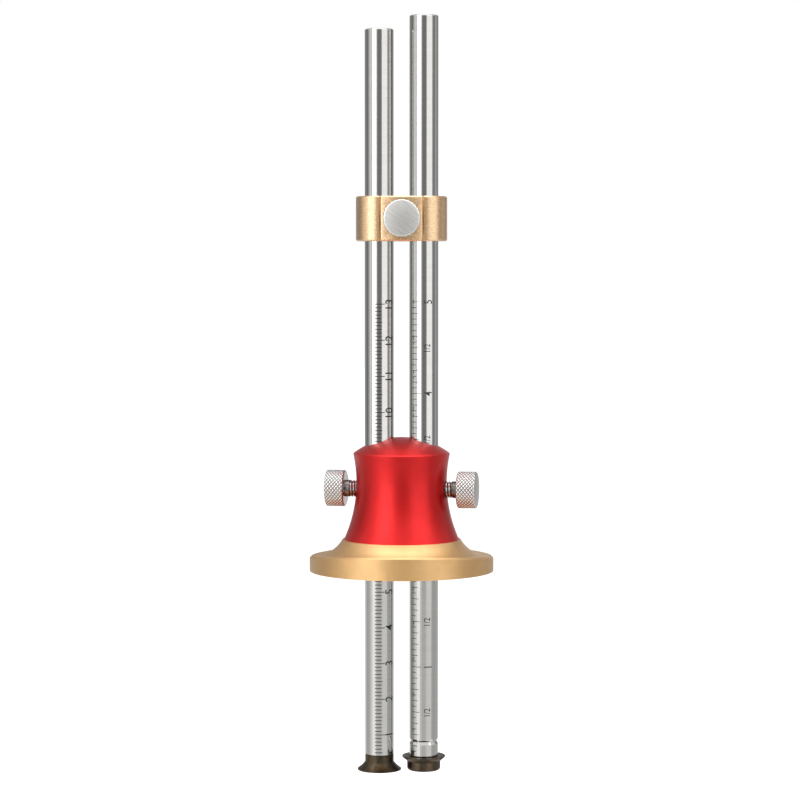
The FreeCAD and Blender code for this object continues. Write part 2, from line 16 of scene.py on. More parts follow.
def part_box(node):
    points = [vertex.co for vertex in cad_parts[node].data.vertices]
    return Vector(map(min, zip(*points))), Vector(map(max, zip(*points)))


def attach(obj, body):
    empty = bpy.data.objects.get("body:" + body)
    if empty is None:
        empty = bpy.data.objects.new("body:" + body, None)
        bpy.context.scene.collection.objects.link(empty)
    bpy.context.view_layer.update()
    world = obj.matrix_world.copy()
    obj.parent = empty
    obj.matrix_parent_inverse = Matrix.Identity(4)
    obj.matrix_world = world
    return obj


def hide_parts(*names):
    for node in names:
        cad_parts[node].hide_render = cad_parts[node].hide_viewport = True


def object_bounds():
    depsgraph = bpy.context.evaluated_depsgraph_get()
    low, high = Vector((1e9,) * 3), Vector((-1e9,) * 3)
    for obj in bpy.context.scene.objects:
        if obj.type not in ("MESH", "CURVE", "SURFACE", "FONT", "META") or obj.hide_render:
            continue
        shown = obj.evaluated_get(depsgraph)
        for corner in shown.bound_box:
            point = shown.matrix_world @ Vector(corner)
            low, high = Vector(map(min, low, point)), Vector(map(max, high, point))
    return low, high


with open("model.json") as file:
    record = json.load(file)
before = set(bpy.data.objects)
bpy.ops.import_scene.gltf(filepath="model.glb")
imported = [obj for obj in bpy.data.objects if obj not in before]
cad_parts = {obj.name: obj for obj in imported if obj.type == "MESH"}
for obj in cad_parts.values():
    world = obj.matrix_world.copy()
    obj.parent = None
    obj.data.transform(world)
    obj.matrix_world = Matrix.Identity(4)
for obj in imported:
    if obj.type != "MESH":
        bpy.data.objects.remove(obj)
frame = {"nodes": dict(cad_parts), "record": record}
solid_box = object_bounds()
MM = 0.001

# %% [markdown]
# ## The camera
# The photograph looks at the gauge almost squarely, from a little over half a metre away and
# slightly from above. A long lens that is pitched down by three degrees, with no shift, puts the
# scales, the bridge, the head and the cutters where they are in the picture.

# %% Camera
LENS_MM = 112.49
SENSOR_MM = 36.0
CAMERA_PLACE = Vector((-0.44, -694.87, 83.63)) * MM
CAMERA_PITCH_DOWN = math.radians(2.973)

camera_data = bpy.data.cameras.new("camera")
camera_data.lens = LENS_MM
camera_data.sensor_width = SENSOR_MM
camera_data.clip_start = 0.01
camera = bpy.data.objects.new("camera", camera_data)
camera.location = CAMERA_PLACE
camera.rotation_euler = (math.pi / 2 - CAMERA_PITCH_DOWN, 0, 0)
bpy.context.scene.collection.objects.link(camera)
bpy.context.scene.camera = camera
bpy.context.scene.view_settings.view_transform = "Standard"
print("camera:", round(math.degrees(camera_data.angle), 2), "degrees wide")

# %% [markdown]
# ## Sockets that Python can add up
# A material or a Geometry Nodes tree is a graph, and its sums are nodes. Written one by one they
# hide the idea, so this small class wraps a socket and lets Python's own operators make the Math
# nodes. `Tree.node` makes any other node from its type, its settings and its sockets' values.

# %% Wrapped sockets and trees
class Wire:
    """A socket of a node tree that takes part in Python sums."""

    def __init__(self, tree, socket):
        self.tree = tree
        self.socket = socket

    def maths(self, operation, *terms):
        return self.tree.node("ShaderNodeMath", {"operation": operation}, dict(enumerate(terms)))

    def __add__(self, other):
        return self.maths("ADD", self, other)

    def __radd__(self, other):
        return self.maths("ADD", other, self)

    def __sub__(self, other):
        return self.maths("SUBTRACT", self, other)

    def __rsub__(self, other):
        return self.maths("SUBTRACT", other, self)

    def __mul__(self, other):
        return self.maths("MULTIPLY", self, other)

    def __rmul__(self, other):
        return self.maths("MULTIPLY", other, self)

    def __truediv__(self, other):
        return self.maths("DIVIDE", self, other)

    def __abs__(self):
        return self.maths("ABSOLUTE", self)

    def sine(self):
        return self.maths("SINE", self)

    def cosine(self):
        return self.maths("COSINE", self)

    def fraction(self):
        return self.maths("FRACT", self)

    def at_most(self, other):
        return self.maths("MINIMUM", self, other)

    def at_least(self, other):
        return self.maths("MAXIMUM", self, other)

    def above(self, other):
        return self.maths("GREATER_THAN", self, other)

    def below(self, other):
        return self.maths("LESS_THAN", self, other)

    def clamped(self):
        return self.at_most(1.0).at_least(0.0)


class Tree:
    """A node tree with one method that makes any node."""

    def __init__(self, nodes):
        self.nodes = nodes

    def node(self, kind, settings=None, sockets=None, output=0):
        made = self.nodes.nodes.new(kind)
        for name, value in (settings or {}).items():
            setattr(made, name, value)
        for key, value in (sockets or {}).items():
            self.plug(made.inputs[key], value)
        return Wire(self, made.outputs[output]) if made.outputs else made

    def plug(self, socket, value):
        if isinstance(value, Wire):
            self.nodes.links.new(value.socket, socket)
        else:
            socket.default_value = value

    def other(self, wire, output):
        """Another output of the node that a wire comes from."""
        return Wire(self, wire.socket.node.outputs[output])


def grey(level):
    return (level, level, level, 1.0)


# %% [markdown]
# ## The studio
# Polished rods show the room rather than themselves. In the photograph each rod has a white band
# on either side of a darker stripe, and darker sides. So two tall soft boxes stand left and right
# of the camera, with a third lamp overhead. All the way round stand grey cards, in a lower, an
# upper and a high ring, which only reflections see. They are darker between and beside the boxes,
# and a card behind a box sets how bright its band is, because a lamp adds to what is behind it.
# The wall and the floor are white by their own colour.

# %% World, floor and lights
world = bpy.data.worlds.new("studio")
world.use_nodes = True
bpy.context.scene.world = world
world.node_tree.nodes.clear()
room = Tree(world.node_tree)
AMBIENT = 0.55


def is_seen(tree):
    """One for what is seen, straight, in a reflection or through glass, and nought for light alone."""
    ray = tree.node("ShaderNodeLightPath", output="Is Camera Ray")
    reflected = tree.other(ray, "Is Glossy Ray")
    through = tree.other(ray, "Is Transmission Ray")
    return ray.at_least(reflected).at_least(through)


ambient = room.node("ShaderNodeBackground", sockets={"Color": grey(1.0), "Strength": AMBIENT})
wall = room.node("ShaderNodeBackground", sockets={"Color": grey(1.0), "Strength": 1.0})
mixed = room.node("ShaderNodeMixShader", sockets={0: is_seen(room), 1: ambient, 2: wall})
room.node("ShaderNodeOutputWorld", sockets={"Surface": mixed})

# The rods slide down by 45 mm, so the floor is that much lower than the gauge at rest
FLOOR_DROP = 46 * MM
FLOOR_LEVEL = solid_box[0][2] - FLOOR_DROP
FLOOR_HALF = 4.0
FLOOR_COLOR = 0.80
FLOOR_WALL_SHARE = 0.62


def floor_material():
    material = bpy.data.materials.new("pale_floor")
    material.use_nodes = True
    material.node_tree.nodes.clear()
    tree = Tree(material.node_tree)
    paint = tree.node("ShaderNodeBsdfDiffuse", sockets={"Color": grey(FLOOR_COLOR)})
    glow = tree.node("ShaderNodeEmission", sockets={
        "Color": grey(1.0), "Strength": is_seen(tree) * FLOOR_WALL_SHARE})
    both = tree.node("ShaderNodeAddShader", sockets={0: paint, 1: glow})
    tree.node("ShaderNodeOutputMaterial", sockets={"Surface": both})
    return material


floor_mesh = bpy.data.meshes.new("floor")
floor_mesh.from_pydata(
    [(x * FLOOR_HALF, y * FLOOR_HALF, FLOOR_LEVEL) for x, y in ((-1, -1), (1, -1), (1, 1), (-1, 1))],
    [], [(0, 1, 2, 3)])
floor_mesh.materials.append(floor_material())
floor = bpy.data.objects.new("floor", floor_mesh)
floor.visible_glossy = False
bpy.context.scene.collection.objects.link(floor)


GAUGE_MIDDLE = Vector((0.0, 0.0, 0.04))
BOX_TALL = 1.7
BOX_AWAY = 1.3
BOX_LIFT = 0.15
TOP_PLACE = (0.0, -0.15, 1.25)


def area_lamp(name, wide, tall, level, place):
    """A lamp with a rectangular face, at a place in metres. Its level is how bright its face is."""
    data = bpy.data.lights.new(name, "AREA")
    data.shape = "RECTANGLE"
    data.size = wide
    data.size_y = tall
    data.energy = level * math.pi * wide * tall
    lamp = bpy.data.objects.new(name, data)
    lamp.location = place
    bpy.context.scene.collection.objects.link(lamp)
    return lamp


def soft_box(name, heading, wide, level):
    """A tall lamp at a heading from the camera's side, right positive, that faces the gauge."""
    turn = math.radians(heading)
    place = (BOX_AWAY * math.sin(turn), -BOX_AWAY * math.cos(turn), BOX_LIFT)
    lamp = area_lamp(name, wide, BOX_TALL, level, place)
    aim = GAUGE_MIDDLE - lamp.location
    lamp.rotation_euler = aim.to_track_quat("-Z", "Y").to_euler()


soft_box("left_box", heading=-41, wide=0.80, level=1.9)
soft_box("right_box", heading=45, wide=1.05, level=1.1)
area_lamp("top_box", wide=1.8, tall=0.8, level=1.5, place=TOP_PLACE)

# Each card: its start and end heading from the camera's side in degrees, and its grey
UPPER_CARDS = (
    (-180, -124, 0.34),
    (-124, -97, 0.24),
    (-97, -84, 0.50),
    (-84, -62, 0.90),
    (-62, -27, 0.40),
    (-27, -19, 0.95),
    (-19, -12, 0.42),
    (-12, 17, 0.24),
    (17, 24, 0.55),
    (24, 66, 0.25),
    (66, 73, 0.62),
    (73, 82, 0.32),
    (82, 96, 0.26),
    (96, 122, 0.48),
    (122, 150, 0.30),
    (150, 180, 0.60),
)
LOWER_CARDS = (
    (-180, -120, 0.68),
    (-120, -98, 0.54),
    (-98, -76, 0.62),
    (-76, -58, 0.92),
    (-58, -30, 1.25),
    (-30, -14, 0.74),
    (-14, 14, 0.63),
    (14, 24, 0.76),
    (24, 64, 0.86),
    (64, 82, 0.54),
    (82, 100, 0.50),
    (100, 132, 0.54),
    (132, 180, 0.58),
)
BACK_CARDS = (
    (-180, -120, 0.34),
    (-120, -75, 0.85),
    (75, 120, 0.85),
    (120, 180, 0.34),
)
# Each ring: its radius, foot and top in metres
UPPER_RING = (1.6, -0.32, 0.62)
LOWER_RING = (1.1, -1.2, -0.12)
BACK_RING = (1.6, 0.62, 4.0)
CARD_STEP = 6


def stand_card(name, start, end, level, ring):
    """One grey card on a ring, which only reflections see."""
    radius, foot, top = ring
    steps = max(2, round((end - start) / CARD_STEP))
    headings = [math.radians(start + (end - start) * step / steps) for step in range(steps + 1)]
    points = [(radius * math.sin(a), -radius * math.cos(a), z)
              for a in headings for z in (foot, top)]
    faces = [(2 * i, 2 * i + 1, 2 * i + 3, 2 * i + 2) for i in range(steps)]
    mesh = bpy.data.meshes.new(name)
    mesh.from_pydata(points, [], faces)
    material = bpy.data.materials.new(name)
    material.use_nodes = True
    material.node_tree.nodes.clear()
    tree = Tree(material.node_tree)
    glow = tree.node("ShaderNodeEmission", sockets={"Color": grey(level), "Strength": 1.0})
    tree.node("ShaderNodeOutputMaterial", sockets={"Surface": glow})
    mesh.materials.append(material)
    card = bpy.data.objects.new(name, mesh)
    card.visible_camera = False
    card.visible_diffuse = False
    card.visible_shadow = False
    card.visible_transmission = False
    bpy.context.scene.collection.objects.link(card)


for name, cards, ring in (("upper", UPPER_CARDS, UPPER_RING), ("lower", LOWER_CARDS, LOWER_RING),
                          ("back", BACK_CARDS, BACK_RING)):
    for number, (start, end, level) in enumerate(cards):
        stand_card(f"{name}_card_{number}", start, end, level, ring)
print("cards:", len(UPPER_CARDS) + len(LOWER_CARDS) + len(BACK_CARDS))

# %% [markdown]
# ## Finishes
# Every finish is procedural and reads Object coordinates, which are the frame's own metres, so a
# grain has one real size on every piece. Anodised aluminium is metal with a dyed colour and a
# fine blasted grain. Ground steel is bright, with faint rings from the grinding wheel. The shapes
# say where painted shade darkens a groove or recess and where an end face is turned, by a number on each
# point.

# %% Finishes
# The name of the number each point keeps for how much painted shade darkens it in a groove or recess
GROOVE_SHADE = "groove"
FACED = "faced"
FACE_COLOR = (0.76, 0.75, 0.72)
FACE_SHADE = 0.72
FACE_ROUGHNESS = 0.44
FACE_ROUGH_CHANGE = 0.25
SCRATCH_TURN = math.radians(55)
SCRATCH_WIDTH = 0.22
SCRATCH_SQUEEZE = (1.0, 1.0, 0.07)
BUMP_DEPTH = 0.02 * MM


def noise(tree, place, size, detail):
    """A noise from nought to one, whose features have about a size in millimetres."""
    return tree.node("ShaderNodeTexNoise", sockets={
        "Vector": place, "Scale": 1 / (size * MM), "Detail": detail})


def scratches(tree, place):
    """Fine parallel scratches across a turned face, from nought to one. A Mapping node scales before
    it turns, so there are two of them."""
    turned = tree.node("ShaderNodeMapping", sockets={
        "Vector": place, "Rotation": (0.0, SCRATCH_TURN, 0.0)})
    drawn_out = tree.node("ShaderNodeMapping", sockets={"Vector": turned, "Scale": SCRATCH_SQUEEZE})
    return noise(tree, drawn_out, SCRATCH_WIDTH, 2.0)


def mixed_color(tree, share, first, second):
    """From one colour to another, by a share."""
    return tree.node("ShaderNodeMix", {"data_type": "RGBA"}, {
        "Factor": share, "A": first, "B": second}, output=2)


def kept_number(tree, name):
    """The number that a shape keeps on its points under a name."""
    return tree.node("ShaderNodeAttribute", {"attribute_name": name}, output=2).clamped()


def finish(name, color, roughness, metal=1.0, grain=0.0, grain_size=0.25, mottle=0.0,
           mottle_size=3.0, stretch=(1, 1, 1), coat=0.0, coat_roughness=0.1, coat_ior=1.5,
           rough_change=0.0, second=None, speckle=0.6, shade_color=None, faced=False):
    """A material: its colour, how rough it is, a grain and a mottle of given sizes in mm, how much of
    the grain shows in the colour, the colour of the painted shade in grooves and recesses, and
    whether its end faces are turned dull."""
    material = bpy.data.materials.new(name)
    material.use_nodes = True
    material.node_tree.nodes.clear()
    tree = Tree(material.node_tree)
    place = tree.node("ShaderNodeTexCoord", output="Object")
    place = tree.node("ShaderNodeMapping", sockets={"Vector": place, "Scale": stretch})
    sockets = {"Metallic": metal, "Roughness": roughness, "Coat Weight": coat,
               "Coat Roughness": coat_roughness, "Coat IOR": coat_ior, "Base Color": (*color, 1.0)}
    fine = noise(tree, place, grain_size, 2.0)
    broad = noise(tree, place, mottle_size, 3.0)
    if rough_change:
        changed = roughness + (broad - 0.5) * rough_change + (fine - 0.5) * rough_change
        sockets["Roughness"] = changed.clamped()
    if mottle:
        other = second or tuple(part * (1 - mottle) for part in color)
        share = ((broad - 0.5) * 2.0 + (fine - 0.5) * speckle + 0.5).clamped()
        sockets["Base Color"] = mixed_color(tree, share, (*color, 1.0), (*other, 1.0))
    # Painted shade: a dark colour laid into grooves and recesses, by the number each point keeps
    if shade_color:
        groove_shade_share = kept_number(tree, GROOVE_SHADE)
        sockets["Base Color"] = mixed_color(tree, groove_shade_share, sockets["Base Color"], (*shade_color, 1.0))
    if faced:
        on_face = kept_number(tree, FACED)
        scratch = scratches(tree, place)
        dull = (FACE_ROUGHNESS + (scratch - 0.5) * FACE_ROUGH_CHANGE).clamped()
        sockets["Roughness"] = sockets["Roughness"] + (dull - sockets["Roughness"]) * on_face
        streaks = ((scratch - 0.5) * 2.4 + 0.35).clamped()
        shaded = tuple(part * FACE_SHADE for part in FACE_COLOR)
        pale = mixed_color(tree, streaks, (*FACE_COLOR, 1.0), (*shaded, 1.0))
        sockets["Base Color"] = mixed_color(tree, on_face, sockets["Base Color"], pale)
    if grain:
        sockets["Normal"] = tree.node("ShaderNodeBump", sockets={
            "Strength": grain, "Distance": BUMP_DEPTH, "Height": fine})
    shader = tree.node("ShaderNodeBsdfPrincipled", sockets=sockets)
    tree.node("ShaderNodeOutputMaterial", sockets={"Surface": shader})
    return material


GROUND_STEEL = finish("ground_steel", (0.63, 0.62, 0.60), 0.09, grain=0.05, grain_size=0.12,
                      stretch=(0.15, 0.15, 2.0), rough_change=0.06, mottle=0.06, mottle_size=2.0)
SCALE_INK = finish("scale_ink", (0.012, 0.012, 0.014), 0.5, metal=0.0)
RED_ANODISED = finish("red_anodised", (0.76, 0.015, 0.016), 0.42, grain=0.3, grain_size=0.22,
                      rough_change=0.06, coat=0.4, coat_roughness=0.30, mottle=0.10)
GOLD_ANODISED = finish("gold_anodised", (0.84, 0.48, 0.145), 0.46, grain=0.9, grain_size=0.28,
                       rough_change=0.10, mottle=0.12, coat=0.85, coat_roughness=0.38, coat_ior=2.1)
GOLD_BLASTED = finish("gold_blasted", (1.0, 0.66, 0.31), 0.37, grain=1.0, grain_size=0.24,
                      rough_change=0.10, mottle=0.4, mottle_size=0.30, speckle=2.6, coat=1.0,
                      coat_roughness=0.26, coat_ior=2.5, second=(0.62, 0.34, 0.11))
# The plated screws carry a near-black painted shade in their grooves, on the collar and round the head's
# inner rim
PLATED_STEEL = finish("plated_steel", (0.88, 0.87, 0.85), 0.22, grain=0.10, grain_size=0.15,
                      rough_change=0.08, shade_color=(0.06, 0.05, 0.05), faced=True)
CUTTER_STEEL = finish("tool_steel", (0.150, 0.104, 0.062), 0.38, grain=0.2, grain_size=0.3, mottle=0.6,
                      mottle_size=2.2, second=(0.042, 0.038, 0.030), rough_change=0.15,
                      stretch=(1, 1, 0.4))
SCREW_STEEL = finish("steel_screw", (0.30, 0.30, 0.31), 0.35, grain=0.15, rough_change=0.1)
BRASS = finish("brass", (0.78, 0.57, 0.26), 0.28, grain=0.1, mottle=0.1)

NODE_FINISH = {
    "red_anodised": RED_ANODISED,
    "gold_anodised": GOLD_ANODISED,
    "ground_steel": GROUND_STEEL,
    "plated_steel": PLATED_STEEL,
    "tool_steel": CUTTER_STEEL,
    "steel_screw": SCREW_STEEL,
    "brass": BRASS,
}
for part in frame["record"]["subparts"]:
    node = frame["nodes"][part["node"]]
    for place in node.material_slots:
        place.material = NODE_FINISH[part["material_slot"]]
print("finishes:", len(NODE_FINISH))

# %% [markdown]
# ## Turned pieces
# The rods and the cutters are bodies of revolution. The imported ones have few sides, and a polished
# surface shows that in its reflections, so each one is turned again from its profile with many more
# sides. A profile is a list of (radius, height) corners in millimetres, from the bottom to the top.

# %% Lathe
TURNED_SIDES = 160
# In millimetres: how far a supporting ring is from a corner, and how long a face is that needs it
SUPPORT = 0.04
LONG_FACE = 0.9


def link(name, mesh, material):
    """An object at the origin, with its place in its mesh."""
    mesh.materials.clear()
    mesh.materials.append(material)
    piece = bpy.data.objects.new(name, mesh)
    bpy.context.scene.collection.objects.link(piece)
    return piece


def smooth(mesh, edge_angle=25):
    """Rounded shading, with crisp edges where two faces meet at more than an angle."""
    mesh.shade_smooth()
    mesh.set_sharp_from_angle(angle=math.radians(edge_angle))


def supported(profile):
    """The same profile, with a ring close to both ends of each long face, so that the rounded
    shading of an edge doesn't spread along the face."""
    held = [profile[0]]
    for (radius, height), (next_radius, next_height) in zip(profile, profile[1:]):
        reach = math.hypot(next_radius - radius, next_height - height)
        if reach > LONG_FACE and radius > 0 and next_radius > 0:
            for share in (SUPPORT / reach, 1 - SUPPORT / reach):
                held.append((radius + (next_radius - radius) * share,
                             height + (next_height - height) * share))
        held.append((next_radius, next_height))
    return held


def turned_mesh(name, profile, sides=TURNED_SIDES, ring_shaped=False):
    """A closed solid of revolution about Z. Where the radius is nought the profile has one point. A
    ring has no such point, and its profile comes round to its start."""
    points, rings, faces = [], [], []
    if ring_shaped:
        profile = profile + profile[:1]
    corners = supported(profile)
    if ring_shaped:
        corners = corners[:-1]
    for radius, height in corners:
        count = sides if radius > 0 else 1
        rings.append(range(len(points), len(points) + count))
        for side in range(count):
            turn = 2 * math.pi * side / sides
            points.append((radius * MM * math.cos(turn), radius * MM * math.sin(turn), height * MM))
    if ring_shaped:
        rings.append(rings[0])
    for low, high in zip(rings, rings[1:]):
        for side in range(sides):
            after = (side + 1) % sides
            corners = [low[side % len(low)], low[after % len(low)],
                       high[after % len(high)], high[side % len(high)]]
            faces.append(list(dict.fromkeys(corners)))
    mesh = bpy.data.meshes.new(name)
    mesh.from_pydata(points, [], faces)
    mesh.validate()
    smooth(mesh)
    return mesh


# %% [markdown]
# ## The rods
# Both rods are 8 mm across, with a small rounded edge at the top. The right one has a ring groove
# a little above its cutter.

# %% Rods
ROD_RADIUS = 4.0
ROD_OFFSET = 6.2
ROD_EDGE = 0.4
ROD_FOOT_EDGE = 0.15
RING_HEIGHT = 4.15
RING_HALF = 0.75
RING_DEPTH = 0.4


def node_heights(node):
    """A node's lowest and highest point, in millimetres."""
    low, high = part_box(node)
    return low[2] / MM, high[2] / MM


def rounded_top(top, steps=6):
    """The corners of a rod's rounded upper edge."""
    turns = [math.pi / 2 * step / steps for step in range(steps + 1)]
    return [(ROD_RADIUS - ROD_EDGE * (1 - math.cos(turn)), top - ROD_EDGE * (1 - math.sin(turn)))
            for turn in turns]


def make_rod(node, side, ringed):
    """A rod at a distance along X, with or without the ring groove."""
    bottom, top = node_heights(node)
    profile = [(0, bottom), (ROD_RADIUS - ROD_FOOT_EDGE, bottom), (ROD_RADIUS, bottom + ROD_FOOT_EDGE)]
    if ringed:
        middle = bottom + RING_HEIGHT
        profile += [(ROD_RADIUS, middle - RING_HALF), (ROD_RADIUS - RING_DEPTH, middle),
                    (ROD_RADIUS, middle + RING_HALF)]
    profile += rounded_top(top) + [(0, top)]
    mesh = turned_mesh(f"{node}_ground", profile)
    mesh.transform(Matrix.Translation((side * MM, 0, 0)))
    rod = link(f"{node}_ground", mesh, GROUND_STEEL)
    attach(rod, node)
    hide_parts(node)
    print(rod.name, round(top - bottom, 1), "mm long")


make_rod("metric_rod", -ROD_OFFSET, False)
make_rod("inch_rod", ROD_OFFSET, True)

# %% [markdown]
# ## The cutters
# Both are rings that turn on a countersunk screw. The left one flares in a shallow hollow curve to
# its edge at the bottom. The right one is a dish with its edge at the top, on a hub whose lower
# edge is rounded.

# %% Cutters
CUTTER_BORE = 1.58
SINK_RADIUS = 2.88
EDGE_LAND = 0.3
FLARE_STEPS = 10
FLARE_HOLLOW = 0.14
HUB_ROUND = 0.75
CUTTER_SIDES = 128


def cutter_bore(low, high):
    """The corners of the bore, from its upper end down to the rim of its countersink."""
    return [(CUTTER_BORE, high), (CUTTER_BORE, low + SINK_RADIUS - CUTTER_BORE), (SINK_RADIUS, low)]


def hollow_curve(start, end, hollow):
    """Corners from one to another, bowed inwards by a little."""
    (r0, z0), (r1, z1) = start, end
    reach = math.hypot(r1 - r0, z1 - z0)
    across = ((z0 - z1) / reach, (r1 - r0) / reach)
    corners = []
    for step in range(FLARE_STEPS + 1):
        share = step / FLARE_STEPS
        bow = hollow * 4 * share * (1 - share)
        corners.append((r0 + (r1 - r0) * share + across[0] * bow,
                        z0 + (z1 - z0) * share + across[1] * bow))
    return corners


def quarter_round(radius, height, size, steps=6):
    """A rounded lower edge, from its underside out to its side."""
    turns = [math.pi / 2 * step / steps for step in range(steps + 1)]
    return [(radius - size * (1 - math.sin(turn)), height + size * (1 - math.cos(turn)))
            for turn in turns]


def make_cutter(node, side, outside):
    """A cutter from the corners of its outside, from the bottom face up to the top face."""
    low, high = node_heights(node)
    profile = outside(low, high) + cutter_bore(low, high)
    mesh = turned_mesh(f"{node}_turned", profile, CUTTER_SIDES, ring_shaped=True)
    mesh.transform(Matrix.Translation((side * MM, 0, 0)))
    cutter = link(f"{node}_turned", mesh, CUTTER_STEEL)
    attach(cutter, node)
    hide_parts(node)
    print(cutter.name, len(mesh.polygons), "faces")


def metric_outside(low, high):
    """A hub that flares down to the edge."""
    edge, hub, hub_length, bevel = 6.1, 4.0, 2.0, 0.1
    flare = hollow_curve((edge, low + EDGE_LAND), (hub, high - hub_length), FLARE_HOLLOW)
    return [(edge, low)] + flare + [(hub, high - bevel), (hub - bevel, high)]


def inch_outside(low, high):
    """A hub with a rounded foot, and a dish that widens up to the edge."""
    edge, hub, hub_length = 6.0, 4.65, 2.55
    dish = [(hub, low + hub_length), (edge, high - EDGE_LAND), (edge, high)]
    return quarter_round(hub, low, HUB_ROUND) + dish


make_cutter("metric_cutter", -ROD_OFFSET, metric_outside)
make_cutter("inch_cutter", ROD_OFFSET, inch_outside)

# %% [markdown]
# ## The bridge
# The clamp is a straight block with two round lobes, and its front is milled flat between them. The
# milling leaves a fine groove on either side, and the pad's edge beside it is broken and catches the
# light. So the block is an outline seen from above, raised to its height with a bevel at both ends.

# %% Bridge
LOBE_RADIUS = 6.45
PAD_DEPTH = 6.10
# How far out and how deep each corner of the pad's broken edge and of the groove beside it is
PAD_EDGE = ((5.48, 6.10), (5.72, 5.99), (5.80, 5.80))
LOBE_START = 6.14
BRIDGE_BEVEL = 0.35
BORE_RADIUS = 4.08
SCREW_HOLE_RADIUS = 2.48
SCREW_HOLE_BACK = 3.4
ARC_STEPS = 72
BORE_STEPS = 96
DRILL_SIDES = 64


def arc(middle, radius, start, end, steps):
    """Points of an arc about a place on X, between two angles in radians."""
    turns = [start + (end - start) * step / steps for step in range(steps + 1)]
    return [(middle + radius * math.cos(turn), radius * math.sin(turn)) for turn in turns]


def bridge_outline():
    """The outline seen from above, anticlockwise, and the same outline drawn in by the bevel."""
    front = -math.acos((LOBE_START - ROD_OFFSET) / LOBE_RADIUS)
    rear = math.pi - math.asin(PAD_DEPTH / LOBE_RADIUS)
    outlines = []
    for drawn_in in (0.0, BRIDGE_BEVEL):
        edge = [(x, -min(y, PAD_DEPTH - drawn_in)) for x, y in PAD_EDGE]
        right = edge + arc(ROD_OFFSET, LOBE_RADIUS - drawn_in, front, rear, ARC_STEPS)
        left = [(-x, y) for x, y in reversed(right)]
        outlines.append(right + left)
    return outlines


def ring_of(block, points, height):
    """A closed ring of points at one height, with its edges."""
    corners = [block.verts.new((x * MM, y * MM, height * MM)) for x, y in points]
    edges = [block.edges.new(pair) for pair in zip(corners, corners[1:] + corners[:1])]
    return corners, edges


def wall_between(block, low, high, inside=False):
    """Faces from one ring up to the next, outwards, or inwards for a bore."""
    for index in range(len(low)):
        after = (index + 1) % len(low)
        face = [low[index], low[after], high[after], high[index]]
        block.faces.new(face[::-1] if inside else face)


def bridge_mesh():
    """The clamp with its two bores, before its screw's hole is drilled."""
    low, high = node_heights("bridge_body")
    full, drawn_in = bridge_outline()
    block = bmesh.new()
    levels = ((drawn_in, low), (full, low + BRIDGE_BEVEL),
              (full, high - BRIDGE_BEVEL), (drawn_in, high))
    rings = [ring_of(block, points, height) for points, height in levels]
    for lower, upper in zip(rings, rings[1:]):
        wall_between(block, lower[0], upper[0])
    ends = {low: list(rings[0][1]), high: list(rings[-1][1])}
    for middle in (-ROD_OFFSET, ROD_OFFSET):
        circle = arc(middle, BORE_RADIUS, 0, 2 * math.pi, BORE_STEPS)[:-1]
        lower, upper = (ring_of(block, circle, height) for height in (low, high))
        wall_between(block, lower[0], upper[0], inside=True)
        ends[low] += lower[1]
        ends[high] += upper[1]
    for edges in ends.values():
        bmesh.ops.triangle_fill(block, edges=edges, use_beauty=True)
    bmesh.ops.recalc_face_normals(block, faces=block.faces[:])
    mesh = bpy.data.meshes.new("bridge_clamp")
    block.to_mesh(mesh)
    block.free()
    return mesh


def drilled(mesh, drill):
    """The mesh with a drill's shape taken out of it."""
    holders = [bpy.data.objects.new("drilling", part) for part in (mesh, drill)]
    for holder in holders:
        bpy.context.scene.collection.objects.link(holder)
    cut = holders[0].modifiers.new("cut", "BOOLEAN")
    cut.operation = "DIFFERENCE"
    cut.solver = "EXACT"
    cut.object = holders[1]
    evaluated = holders[0].evaluated_get(bpy.context.evaluated_depsgraph_get())
    result = bpy.data.meshes.new_from_object(evaluated)
    for holder in holders:
        bpy.data.objects.remove(holder)
    return result


BRIDGE_MIDDLE = sum(node_heights("bridge_body")) / 2


def make_bridge():
    """The clamp with its screw's hole, which is drilled from the front and stops short of the back."""
    radius, back, front = SCREW_HOLE_RADIUS, -SCREW_HOLE_BACK, LOBE_RADIUS + 1
    drill = turned_mesh("drill", [(0, back), (radius, back), (radius, front), (0, front)], DRILL_SIDES)
    lay_down = Matrix.Rotation(math.pi / 2, 4, "X")
    drill.transform(Matrix.Translation((0, 0, BRIDGE_MIDDLE * MM)) @ lay_down)
    mesh = drilled(bridge_mesh(), drill)
    smooth(mesh)
    clamp = link("bridge_clamp", mesh, GOLD_BLASTED)
    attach(clamp, "bridge")
    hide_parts("bridge_body")
    print(clamp.name, len(mesh.polygons), "faces")


make_bridge()

# %% [markdown]
# ## The engraved scales
# A scale is one short mark repeated, which is what Geometry Nodes do best. A line of points
# climbs the rod, and on each point stands a thin bar that is bent round the rod. Each length of
# mark is one run of the same tree. A run leaves out the places where a longer mark stands.

# %% Scale marks
def new_recipe(name, sizes):
    """A Geometry Nodes tree whose inputs are named sizes, then a material."""
    nodes = bpy.data.node_groups.new(name, "GeometryNodeTree")
    for label, kind in sizes:
        nodes.interface.new_socket(label, in_out="INPUT", socket_type=kind)
    nodes.interface.new_socket("Finish", in_out="INPUT", socket_type="NodeSocketMaterial")
    nodes.interface.new_socket("Geometry", in_out="OUTPUT", socket_type="NodeSocketGeometry")
    tree = Tree(nodes)
    start = nodes.nodes.new("NodeGroupInput")
    values = {socket.name: Wire(tree, socket) for socket in start.outputs if socket.name}
    return nodes, tree, values


def end_recipe(tree, geometry, material):
    """The end of every tree: real meshes, one material, and the output."""
    real = tree.node("GeometryNodeRealizeInstances", sockets={0: geometry})
    dressed = tree.node("GeometryNodeSetMaterial", sockets={"Geometry": real, "Material": material})
    tree.node("NodeGroupOutput", sockets={0: dressed})


